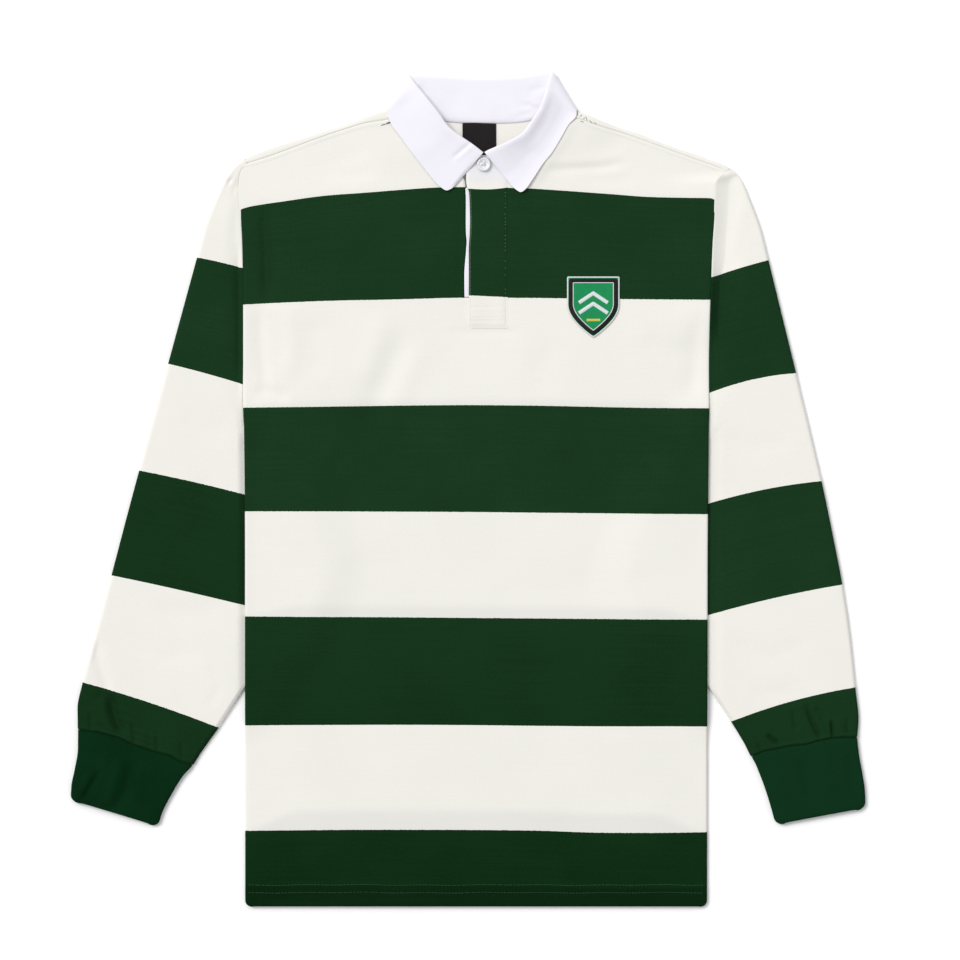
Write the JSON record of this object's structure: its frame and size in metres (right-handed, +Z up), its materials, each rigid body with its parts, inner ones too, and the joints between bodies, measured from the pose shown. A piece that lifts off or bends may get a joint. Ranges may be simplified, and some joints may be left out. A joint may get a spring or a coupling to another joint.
{
  "type": "rugby shirt, laid flat",
  "caption": "Long-sleeved rugby shirt laid flat, in hooped jersey with a white twill collar and placket, ribbed cuffs and a chest patch.",
  "frame": {"origin": "centre of the bounding box's underside: the middle of the laid-out shirt, on the surface that it lies on", "axes": "+Z up, out of the surface and towards the shirt's front; +Y from the hem to the collar; +X towards the wearer's left"},
  "size_m": [0.7532, 0.7916, 0.0154],
  "materials": {
    "jersey": "heavy single jersey, matt, knitted in even dark green and cream hoops",
    "rib": "dark green ribbed knit, matt",
    "twill": "white cotton twill, matt",
    "label": "plain black satin-woven tape",
    "patch": "embroidered twill with a satin-stitched edge",
    "button": "pearly white, glossy"
  },
  "bodies": {
    "root": {"back_panel": "jersey", "front_panel": "jersey", "sleeve_right": "jersey", "sleeve_left": "jersey", "cuff_right": "rib", "cuff_left": "rib", "collar": "twill", "placket_top": "jersey", "placket_under": "twill", "button": "button", "neck_label": "label", "chest_patch": "patch"}
  },
  "joints": []
}
